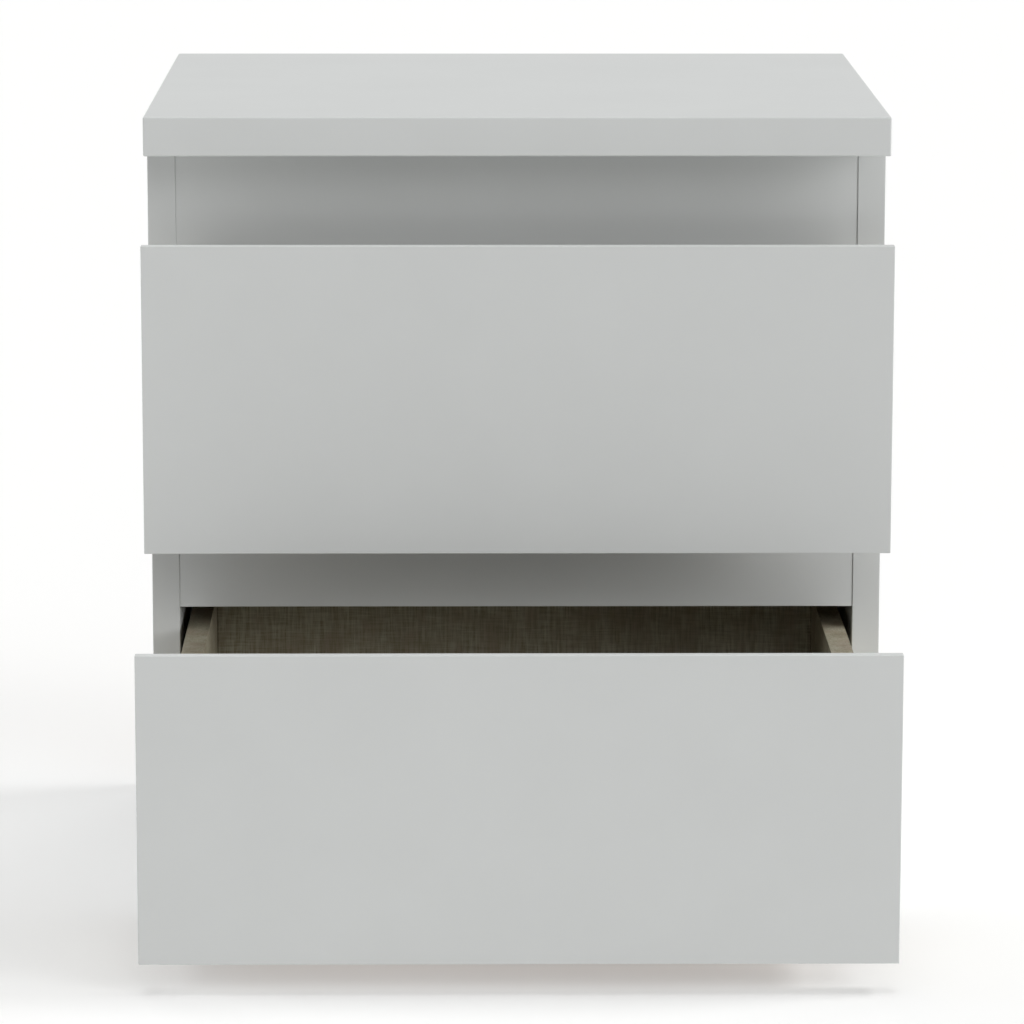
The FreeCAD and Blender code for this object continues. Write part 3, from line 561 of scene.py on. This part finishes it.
def prism(
    name: str,
    corners: list[Corner],
    along: Along,
    span: tuple[float, float],
    end_radius: float = 0.0,
    steps: int = 4,
    bores: list[Bore] | None = None,
    facing: int = 1,
) -> bpy.types.Object:
    """Carry a profile along an axis and round both of its ends.

    The surface is a function of two parameters: one runs round the profile, the other along the axis.
    Near an end, at the angle a from 0 to 90 degrees, the profile shrinks by r (1 - cos a) while the axis
    place moves on by r sin a. Flat parts get the flat normal and arcs their radial one.

    Args:
        name: the piece's name.
        corners: the profile, anticlockwise about the axis.
        along: the axis.
        span: lowest and highest place on the axis.
        end_radius: rounding of the two ends.
        steps: parts of each arc.
        bores: blind holes in one end.
        facing: 1 when the holes are in the upper end, -1 when they are in the lower one. Then the
            shape is worked out along the reversed axis and mirrored.

    Returns:
        The closed piece.
    """
    points, insets, normals = outline(corners, steps)
    count = len(points)
    start, stop = sorted(facing * place for place in span)
    angle = np.linspace(0, math.pi / 2, steps + 1) if end_radius > 0 else np.zeros(1)
    shrink = end_radius * (1 - np.cos(angle))
    reach = end_radius * np.sin(angle)
    shrinks = np.concatenate([shrink[::-1], shrink])
    places = np.concatenate([start + end_radius - reach[::-1], stop - end_radius + reach])
    tilts = np.concatenate([-angle[::-1], angle])
    rings = len(places)
    flat = points[None] - shrinks[:, None, None] * insets[None]
    across, up, axis = along.value
    vertices = np.empty((rings, count, 3))
    vertices[..., across] = flat[..., 0]
    vertices[..., up] = flat[..., 1]
    vertices[..., axis] = places[:, None]
    vertices = vertices.reshape(-1, 3)
    ring, spot = np.meshgrid(np.arange(rings - 1), np.arange(count), indexing="ij")
    following = (spot + 1) % count
    quads = np.stack([
        ring * count + spot,
        ring * count + following,
        (ring + 1) * count + following,
        (ring + 1) * count + spot,
    ], axis=-1).reshape(-1, 4)
    corner_normals = np.zeros((rings - 1, count, 4, 3))
    for place, (step, end) in enumerate(((0, 0), (0, 1), (1, 1), (1, 0))):
        tilt = tilts[step:rings - 1 + step]
        corner_normals[:, :, place, across] = np.cos(tilt)[:, None] * normals[None, :, end, 0]
        corner_normals[:, :, place, up] = np.cos(tilt)[:, None] * normals[None, :, end, 1]
        corner_normals[:, :, place, axis] = np.sin(tilt)[:, None]
    last = (rings - 1) * count
    faces = quads.tolist()
    faces.append(np.arange(count)[::-1].tolist())
    if bores:
        extra, closing = pierced_cap(flat[-1], last, bores, stop, rings * count)
        turned = np.empty_like(extra)
        turned[:, [across, up, axis]] = extra
        vertices = np.vstack([vertices, turned])
        faces += closing
    else:
        faces.append((np.arange(count) + last).tolist())
    if facing < 0:
        vertices[:, axis] *= -1
        faces = [face[::-1] for face in faces]
        corner_normals[..., axis] *= -1
        corner_normals = corner_normals[:, :, ::-1]
    mesh = bpy.data.meshes.new(name)
    mesh.from_pydata(vertices.tolist(), [], faces)
    mesh.update()
    split = corner_normals_of(mesh)
    split[:quads.size] = corner_normals.reshape(-1, 3)
    mesh.normals_split_custom_set(split.tolist())
    piece = bpy.data.objects.new(name, mesh)
    bpy.context.scene.collection.objects.link(piece)
    return piece


def corner_normals_of(mesh: bpy.types.Mesh) -> np.ndarray:
    """Each face's own normal, once for each of its corners.

    Args:
        mesh: the mesh.

    Returns:
        Rows of normals, in the order of the mesh's face corners.
    """
    normals = np.empty(len(mesh.polygons) * 3)
    mesh.polygons.foreach_get("normal", normals)
    sizes = np.empty(len(mesh.polygons), dtype=np.int32)
    mesh.polygons.foreach_get("loop_total", sizes)
    return np.repeat(normals.reshape(-1, 3), sizes, axis=0)


def rectangle(low: tuple[float, float], high: tuple[float, float], radii: list[float]) -> list[Corner]:
    """Four corners, anticlockwise from the lowest, each with its radius.

    Args:
        low: lowest corner.
        high: highest corner.
        radii: roundings at (low, low), (high, low), (high, high) and (low, high).

    Returns:
        The profile.
    """
    spots = ((low[0], low[1]), (high[0], low[1]), (high[0], high[1]), (low[0], high[1]))
    return [Corner(spot[0], spot[1], radius) for spot, radius in zip(spots, radii)]


def board(name: str, low: Vector, high: Vector, radius: float, along: Along) -> bpy.types.Object:
    """A rectangular board with the same rounding on all edges.

    Args:
        name: the piece's name.
        low: lowest corner.
        high: highest corner.
        radius: rounding of its edges.
        along: the axis that its profile is carried along.

    Returns:
        The piece.
    """
    across, up, axis = along.value
    corners = rectangle((low[across], low[up]), (high[across], high[up]), [radius] * 4)
    return prism(name, corners, along, (low[axis], high[axis]), radius)


def finish_piece(
    piece: bpy.types.Object,
    materials: list[bpy.types.Material],
    body: str,
    nodes: list[str],
) -> bpy.types.Object:
    """Dress a new piece, tie it to its body and let it stand for its CAD nodes.

    Args:
        piece: the new piece.
        materials: its materials, in the order of the faces' material numbers.
        body: the CAD body that it rides on.
        nodes: the CAD nodes that it stands for.

    Returns:
        The piece.
    """
    for material in materials:
        piece.data.materials.append(material)
    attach(piece, body)
    if nodes:
        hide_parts(*nodes)
    LOG.info("%s on %s: %d faces", piece.name, body, len(piece.data.polygons))
    return piece


def paint_faces(piece: bpy.types.Object, axis: int, side: float, number: int) -> None:
    """Give the faces that look along one axis another material number.

    Args:
        piece: the piece.
        axis: 0, 1 or 2 for X, Y or Z.
        side: 1 for faces that look up the axis, -1 for those that look down it.
        number: the material number.
    """
    mesh = piece.data
    normals = np.empty(len(mesh.polygons) * 3)
    mesh.polygons.foreach_get("normal", normals)
    chosen = normals.reshape(-1, 3)[:, axis] * side > FACING
    mesh.polygons.foreach_set("material_index", np.where(chosen, number, 0).astype(np.int32))


def paint_bores(piece: bpy.types.Object, low: Vector, high: Vector, number: int) -> None:
    """Give the faces deep inside a board's box, which are those of its bores, a material number.

    Args:
        piece: the board.
        low: lowest corner of its box.
        high: highest corner of its box.
        number: the material number.
    """
    polygons = piece.data.polygons
    centres = np.empty(len(polygons) * 3)
    polygons.foreach_get("center", centres)
    chosen = np.empty(len(polygons), dtype=np.int32)
    polygons.foreach_get("material_index", chosen)
    centres = centres.reshape(-1, 3)
    deep = np.all((centres > np.array(low) + MM) & (centres < np.array(high) - MM), axis=1)
    polygons.foreach_set("material_index", np.where(deep, number, chosen).astype(np.int32))


def dress(names: list[str], material: bpy.types.Material) -> None:
    """Put one finish on CAD nodes that stay as they are.

    Args:
        names: the nodes.
        material: the finish.
    """
    for name in names:
        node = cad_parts[name]
        node.data.materials.clear()
        node.data.materials.append(material)
        LOG.info("%s keeps its CAD shape, in %s", name, material.name)


# ------------------------------------------------------------------ sub-assemblies

@dataclass
class Cabinet:
    """The fixed part: top, side panels, rails, bottom, back, runners, glides and fasteners."""

    palette: Palette
    body: str = "cabinet"
    top_radius: float = 0.9 * MM
    edge_radius: float = 0.45 * MM
    sheet_radius: float = 0.3 * MM
    cam_reach: float = 24 * MM
    front_cam: float = 50 * MM
    rear_cam: float = 46 * MM
    rail_cam: float = 13.5 * MM
    bore_radius: float = 7.5 * MM
    bore_depth: float = 12 * MM

    def build(self) -> None:
        """Make and dress every piece of the cabinet."""
        self.panels()
        self.back()
        self.runners()
        self.glides()
        self.nails()
        dress(["bottom_panel"], self.palette.melamine)
        dress(["cabinet_cams", "cabinet_bolts", "runner_screws"], self.palette.zinc)
        dress(["cabinet_dowels"], self.palette.beech)
        dress(["drawer_stops"], self.palette.plastic)

    def panels(self) -> None:
        """Top, side panels and rails."""
        low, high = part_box("top_panel")
        top = board("top_board", low, high, self.top_radius, Along.X)
        finish_piece(top, [self.palette.melamine], self.body, ["top_panel"])
        for side in Side:
            self.side_panel(side)
        for rail in ("apron_rail", "middle_rail"):
            self.rail(rail)

    def side_panel(self, side: Side) -> None:
        """One side panel: sawn board at the back, and two cam bores near the top of its inner face.

        Args:
            side: the panel's side.
        """
        name = side.name.lower()
        low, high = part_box(f"{name}_side_panel")
        level = high.z - self.cam_reach
        bores = [
            Bore(along, level, self.bore_radius, self.bore_depth)
            for along in (low.y + self.front_cam, high.y - self.rear_cam)
        ]
        corners = rectangle((low.y, low.z), (high.y, high.z), [self.edge_radius] * 4)
        span = (low.x, high.x)
        piece = prism(
            f"{name}_side_board", corners, Along.X, span, self.edge_radius,
            bores=bores, facing=side.value,
        )
        paint_faces(piece, 1, 1, 1)
        self.finish_bored(piece, f"{name}_side_panel", low, high)

    def rail(self, node: str) -> None:
        """A rail between the side panels, with a cam bore near each end of its rear face.

        Args:
            node: the rail's CAD node.
        """
        low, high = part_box(node)
        bores = [
            Bore(low.z + self.rail_cam, along, self.bore_radius, self.bore_depth)
            for along in (low.x + self.cam_reach, high.x - self.cam_reach)
        ]
        corners = rectangle((low.z, low.x), (high.z, high.x), [self.edge_radius] * 4)
        span = (low.y, high.y)
        piece = prism(f"{node}_board", corners, Along.Y, span, self.edge_radius, bores=bores)
        self.finish_bored(piece, node, low, high)

    def finish_bored(self, piece: bpy.types.Object, node: str, low: Vector, high: Vector) -> None:
        """Show raw board in a piece's bores, and finish it.

        Args:
            piece: the bored board.
            node: the CAD node that it stands for.
            low: lowest corner of its box.
            high: highest corner of its box.
        """
        paint_bores(piece, low, high, 1)
        finishes = [self.palette.melamine, self.palette.chipboard]
        finish_piece(piece, finishes, self.body, [node])

    def back(self) -> None:
        """The hardboard sheet behind."""
        sheet = board("back_sheet", *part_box("back_panel"), self.sheet_radius, Along.X)
        finish_piece(sheet, [self.palette.hardboard], self.body, ["back_panel"])

    def runners(self) -> None:
        """The four plastic runners that the drawers slide on."""
        names = [f"{level.value}_{side.name.lower()}_runner" for level in Level for side in Side]
        dress(names, self.palette.plastic)

    def glides(self) -> None:
        """Four glides under the side panels."""
        dress(["foot_glides"], self.palette.plastic)

    def nails(self) -> None:
        """Nails of the back panel."""
        dress(["back_nails"], self.palette.zinc)


@dataclass
class Drawer:
    """One drawer: overlay front, foil-covered box, hardboard bottom, guides and fasteners."""

    palette: Palette
    level: Level
    arris: float = 0.45 * MM
    foil_radius: float = 0.8 * MM
    sheet_radius: float = 0.2 * MM
    grip_land: float = 6 * MM
    grip_drop: float = 10 * MM

    @property
    def body(self) -> str:
        """The CAD body that this drawer is."""
        return f"{self.level.value}_drawer"

    def build(self) -> None:
        """Make and dress every piece of the drawer."""
        self.front()
        self.box()
        name = self.body
        dress([f"{name}_left_guide", f"{name}_right_guide"], self.palette.plastic)
        dress([f"{name}_cams", f"{name}_bolts", f"{name}_screws"], self.palette.zinc)
        dress([f"{name}_dowels"], self.palette.beech)

    def front(self) -> None:
        """The front. Its profile has a flat land on top and a slope behind it, the finger grip."""
        node = f"{self.body}_front"
        low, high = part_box(node)
        corners = [
            Corner(low.y, low.z, self.arris),
            Corner(high.y, low.z, self.arris),
            Corner(high.y, high.z - self.grip_drop, self.arris),
            Corner(low.y + self.grip_land, high.z, self.arris),
            Corner(low.y, high.z, self.arris),
        ]
        piece = prism(f"{node}_board", corners, Along.X, (low.x, high.x), self.arris)
        finish_piece(piece, [self.palette.melamine], self.body, [node])

    def box(self) -> None:
        """Back and bottom as new sheets, the bottom with foil on its upper face. The sides keep their
        CAD shape with its grooves and bores."""
        name = self.body
        dress([f"{name}_left_side", f"{name}_right_side"], self.palette.foil)
        back = board(f"{name}_back_board", *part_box(f"{name}_back"), self.foil_radius, Along.X)
        finish_piece(back, [self.palette.foil], name, [f"{name}_back"])
        bottom = board(f"{name}_bottom_sheet", *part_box(f"{name}_bottom"), self.sheet_radius, Along.X)
        paint_faces(bottom, 2, 1, 1)
        finishes = [self.palette.hardboard, self.palette.foil]
        finish_piece(bottom, finishes, name, [f"{name}_bottom"])


# ------------------------------------------------------------------ studio

@dataclass(frozen=True)
class SoftSun:
    """A distant round softbox, given by where it stands and how wide it looks from the cabinet."""

    name: str
    azimuth: float
    elevation: float
    strength: float
    spread: float

    def build(self) -> None:
        """Add the light. Azimuth 0 is straight in front of the cabinet, 90 is on its right."""
        light = bpy.data.lights.new(self.name, "SUN")
        light.energy = self.strength
        light.angle = math.radians(self.spread)
        lamp = bpy.data.objects.new(self.name, light)
        side = math.radians(self.azimuth)
        rise = math.radians(self.elevation)
        towards = Vector((
            math.sin(side) * math.cos(rise),
            -math.cos(side) * math.cos(rise),
            math.sin(rise),
        ))
        lamp.rotation_euler = towards.to_track_quat("Z", "Y").to_euler()
        bpy.context.scene.collection.objects.link(lamp)


@dataclass
class Studio:
    """A pale floor that glows a little, nine large soft lights and a plain white background.

    The key lights stand low in front on the right, so the rails are darkest in their middle. Those on
    the left, behind and overhead open the shade on the other sides.
    """

    floor_half: float = 12.0
    floor_tone: str = "CECECD"
    floor_glow: float = 0.36
    floor_grain_mm: float = 2.0
    floor_grain_depth_mm: float = 0.002
    floor_roughness: float = 0.8
    ambient: float = 0.02
    mirrored: float = 0.42
    lights: tuple[SoftSun, ...] = (
        SoftSun("key", 64, 15, 1.00, 24),
        SoftSun("key_upper", 52, 30, 0.48, 28),
        SoftSun("front", 5, 30, 0.32, 30),
        SoftSun("low_right", 60, 3, 0.48, 24),
        SoftSun("high_right", 98, 50, 0.90, 16),
        SoftSun("low_left", -100, 7, 1.40, 28),
        SoftSun("rear_left", -150, 30, 0.45, 30),
        SoftSun("rear_right", 150, 16, 0.60, 30),
        SoftSun("overhead", 0, 90, 1.25, 40),
    )

    def build(self) -> None:
        """Make the floor, the lights and the surroundings."""
        self.floor()
        for light in self.lights:
            light.build()
        self.surroundings()

    def floor(self) -> None:
        """A plain pale floor of one flat sheet."""
        half = self.floor_half
        mesh = bpy.data.meshes.new("studio_floor")
        corners = np.array([(-half, -half, 0), (half, -half, 0), (half, half, 0), (-half, half, 0)])
        mesh.from_pydata(corners.tolist(), [], [(0, 1, 2, 3)])
        floor = bpy.data.objects.new("studio_floor", mesh)
        material, tree, place = new_material("rolled_floor_paint")
        grain = Stipple((self.floor_grain_mm,) * 3).socket(tree, place)
        shader = {
            "Base Color": linear(self.floor_tone),
            "Roughness": self.floor_roughness,
            "Specular IOR Level": 0.0,
            "Emission Color": WHITE,
            "Emission Strength": self.floor_glow,
        }
        close_material(tree, None, grain, self.floor_grain_depth_mm, shader)
        mesh.materials.append(material)
        bpy.context.scene.collection.objects.link(floor)

    def surroundings(self) -> None:
        """White to the camera, grey in reflections, and dim for the light that it gives."""
        world = bpy.data.worlds.new("studio")
        world.use_nodes = True
        tree = world.node_tree
        tree.nodes.clear()
        path = add_node(tree, "ShaderNodeLightPath").outputs
        shades = [
            add_node(tree, "ShaderNodeBackground", {"Color": WHITE, "Strength": strength}).outputs[0]
            for strength in (self.ambient, self.mirrored, 1.0)
        ]
        links = {0: path["Is Glossy Ray"], 1: shades[0], 2: shades[1]}
        room = add_node(tree, "ShaderNodeMixShader", None, links)
        links = {0: path["Is Camera Ray"], 1: room.outputs[0], 2: shades[2]}
        mix = add_node(tree, "ShaderNodeMixShader", None, links)
        add_node(tree, "ShaderNodeOutputWorld", None, {"Surface": mix.outputs[0]})
        bpy.context.scene.world = world
        bpy.context.scene.view_settings.view_transform = "Standard"


@dataclass(frozen=True)
class Viewpoint:
    """A long lens, a little left of the middle, that looks slightly down on the cabinet."""

    lens_mm: float = 178.0
    sensor_mm: float = 36.0
    clip: tuple[float, float] = (0.1, 60.0)
    place: tuple[float, float, float] = (-0.0302, -2.868, 0.7465)
    pitch_down: float = 10.74
    yaw_right: float = 0.584
    roll: float = 0.06

    def build(self) -> None:
        """Add the camera and make it the scene's own."""
        data = bpy.data.cameras.new("camera")
        data.lens = self.lens_mm
        data.sensor_width = self.sensor_mm
        data.clip_start, data.clip_end = self.clip
        camera = bpy.data.objects.new("camera", data)
        camera.location = self.place
        turn = Euler((math.radians(90 - self.pitch_down), 0, math.radians(-self.yaw_right)), "XYZ")
        camera.rotation_euler = turn
        camera.rotation_euler.rotate_axis("Z", math.radians(self.roll))
        bpy.context.scene.collection.objects.link(camera)
        bpy.context.scene.camera = camera


def main() -> None:
    """Build the camera, the cabinet, both drawers and the studio, in that order."""
    logging.basicConfig(level=logging.INFO, format="%(message)s")
    Viewpoint().build()
    palette = Palette()
    Cabinet(palette).build()
    for level in Level:
        Drawer(palette, level).build()
    Studio().build()


if __name__ == "__main__":
    main()
